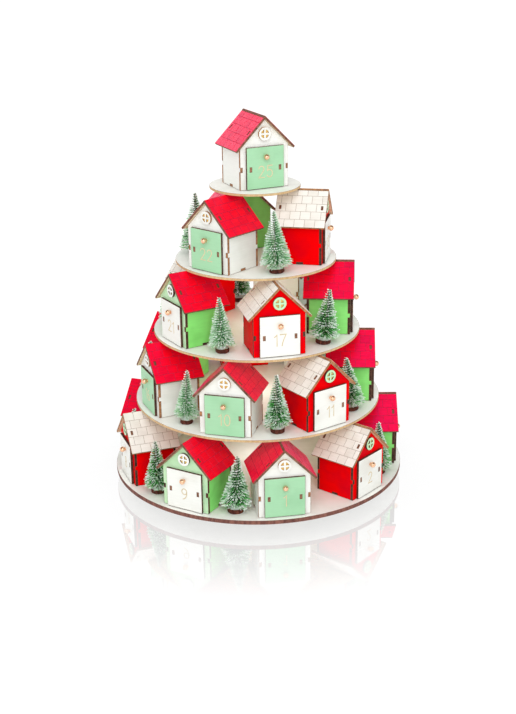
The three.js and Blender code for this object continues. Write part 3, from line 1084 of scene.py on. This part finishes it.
def make_trees(materials):
    """One tree midway between each two neighbours, on the deck that carries them."""
    low_trees = [tree_mesh(100 + shape, TREE_HEIGHT, BRUSH_RADIUS, materials)
                 for shape in range(TREE_SHAPES)]
    tall_trees = [tree_mesh(200 + shape, TALL_TREE_HEIGHT, TALL_BRUSH_RADIUS, materials)
                  for shape in range(TALL_TREE_SHAPES)]
    pale_low = [tree_mesh(300, TREE_HEIGHT, BRUSH_RADIUS, materials, "strand_pale")]
    pale_tall = [tree_mesh(301, TALL_TREE_HEIGHT, TALL_BRUSH_RADIUS, materials, "strand_pale")]
    draw = np.random.default_rng(7)
    first = 1
    for tier, houses in enumerate(HOUSES_PER_TIER):
        node = f"deck_{tier + 1}"
        low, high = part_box(node)
        reach = (high.x - low.x) / 2 - TREE_INSET * MM
        step = 2 * math.pi / houses
        tall = tier == TIER_OF_TALL_TREES
        for gap in range(houses):
            if gap == 0 and tier in TIERS_WITH_A_BARE_GAP:
                continue
            number = first + gap
            if number in PALE_TREES:
                shapes = pale_tall if tall else pale_low
            else:
                shapes = tall_trees if tall else low_trees
            direction = facing(number) + step / 2
            lean = math.radians(TREE_LEANS.get(number, draw.normal(0, LEAN_SCATTER)))
            spin = draw.uniform(0, 2 * math.pi)
            stand = (reach * math.cos(direction), reach * math.sin(direction), deck_top(first))
            width, height = TREE_SIZES.get(number, (1, 1))
            place = (Matrix.Translation(stand) @ Matrix.Rotation(lean, 4, "Y")
                     @ Matrix.Rotation(spin, 4, "Z") @ Matrix.Diagonal((width, width, height, 1)))
            put(f"brush_tree_{number:02d}", shapes[number % len(shapes)], place,
                "calendar", node)
        first += houses


# Floor and light
def make_floor():
    """A white floor that keeps a soft shadow and a faint mirror image close round the calendar."""
    bpy.ops.mesh.primitive_plane_add(size=FLOOR_SIZE, location=(0, 0, 0))
    floor = bpy.context.object
    floor.name = "floor"
    material = bpy.data.materials.new("floor")
    nodes = Nodes(material)
    nodes.tree.nodes.clear()

    def matt(white, glow):
        bounce = nodes.node("BsdfDiffuse", {"Color": colour(white)}).outputs[0]
        light = nodes.node("Emission", {"Strength": glow}).outputs[0]
        return nodes.node("AddShader", {0: bounce, 1: light}).outputs[0]

    place = nodes.node("TexCoord").outputs["Object"]
    distance = nodes.node("VectorMath", {0: place}, operation="LENGTH").outputs["Value"]
    share = nodes.span(distance, MIRROR_SHARE, 0.0, MIRROR_NEAR, MIRROR_FAR,
                       interpolation_type="SMOOTHSTEP")
    mirror = nodes.node("BsdfGlossy", {"Roughness": 0.0}).outputs[0]
    glossy = nodes.node("MixShader", {0: share, 1: matt(SHADOW_GREY, 1.0), 2: mirror}).outputs[0]
    path = nodes.node("LightPath").outputs
    seen = nodes.result("MAXIMUM", path["Is Camera Ray"], path["Is Glossy Ray"])
    chosen = nodes.node("MixShader", {0: seen, 1: matt(FLOOR_GREY, FLOOR_GLOW), 2: glossy})
    nodes.node("OutputMaterial", {"Surface": chosen.outputs[0]})
    floor.data.materials.append(material)


def make_world():
    """White where the camera or the floor's sharp mirror sees it, dimmer overhead where a rougher
    surface mirrors it, and a plain soft light on everything."""
    world = bpy.data.worlds.new("studio")
    bpy.context.scene.world = world
    nodes = Nodes(world)
    background = nodes.tree.nodes["Background"].inputs
    background["Color"].default_value = colour(1.0)
    direction = nodes.node("TexCoord").outputs["Generated"]
    height = nodes.node("SeparateXYZ", {0: direction}).outputs["Z"]
    ceiling = nodes.span(height, 1.0, CEILING_LIGHT, CEILING_START, CEILING_END)
    path = nodes.node("LightPath").outputs
    mirrored = nodes.span(path["Is Glossy Ray"], WORLD_LIGHT, ceiling)
    sharp = nodes.result("MAXIMUM", path["Is Camera Ray"], path["Is Singular Ray"])
    nodes.feed(background["Strength"], nodes.span(sharp, mirrored, 1.0))


def add_lamp(name, kind, place, power):
    data = bpy.data.lights.new(name, kind)
    data.energy = power
    lamp = link(bpy.data.objects.new(name, data))
    lamp.location = place
    return lamp


def make_lamps():
    for name, (place, size, power) in LAMPS.items():
        lamp = add_lamp(name, "AREA", place, power)
        lamp.data.shape = "DISK"
        lamp.data.size = size
        lamp.rotation_euler = (LAMP_AIM - lamp.location).to_track_quat("-Z", "Y").to_euler()


def make_inner_lamps():
    """A weak lamp inside each ring of houses, for the light that reaches in from all round."""
    for tier, power in enumerate(INNER_POWERS, 1):
        low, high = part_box(f"deck_{tier}"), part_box(f"deck_{tier + 1}")
        lamp = add_lamp(f"inner_{tier}", "POINT", (0, 0, (low[0].z + high[0].z) / 2), power)
        lamp.data.shadow_soft_size = INNER_RADIUS
        lamp.visible_camera = False


make_camera()
finishes = make_materials()
make_houses(finishes)
make_decks(finishes)
make_trees(finishes)
make_floor()
make_world()
make_lamps()
make_inner_lamps()
bpy.context.scene.view_settings.view_transform = "Standard"
